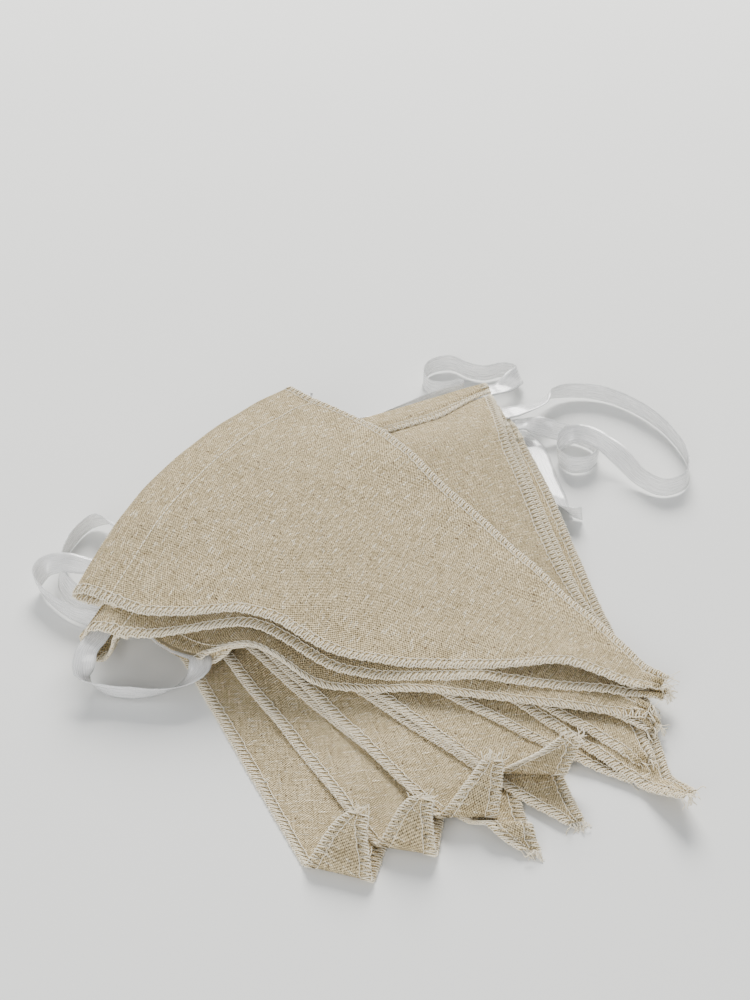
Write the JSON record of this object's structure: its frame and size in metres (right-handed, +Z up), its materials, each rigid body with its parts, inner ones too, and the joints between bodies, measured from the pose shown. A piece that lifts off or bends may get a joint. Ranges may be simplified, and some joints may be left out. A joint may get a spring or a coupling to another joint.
{
  "type": "fabric bunting",
  "caption": "Triangular cloth pennants with serged sides and channel headings, threaded on a satin ribbon and dropped in a loose fanned pile.",
  "frame": {"origin": "under the middle of the pile's box, on the surface that the pile lies on", "axes": "+Z up, -Y towards the open end of the fan, +X towards the ribbon's largest loop"},
  "size_m": [0.3191, 0.3695, 0.042],
  "materials": {
    "linen": "matte plain weave with slubs, cream serging on the long sides",
    "satin": "smooth white satin"
  },
  "bodies": {
    "root": {"pennant_a": "linen", "pennant_b": "linen", "pennant_c": "linen", "pennant_d": "linen", "pennant_e": "linen", "pennant_f": "linen", "pennant_g": "linen", "pennant_h": "linen", "pennant_i": "linen", "pennant_j": "linen", "pennant_k": "linen", "pennant_l": "linen", "pennant_m": "linen", "ribbon": "satin"}
  },
  "joints": []
}
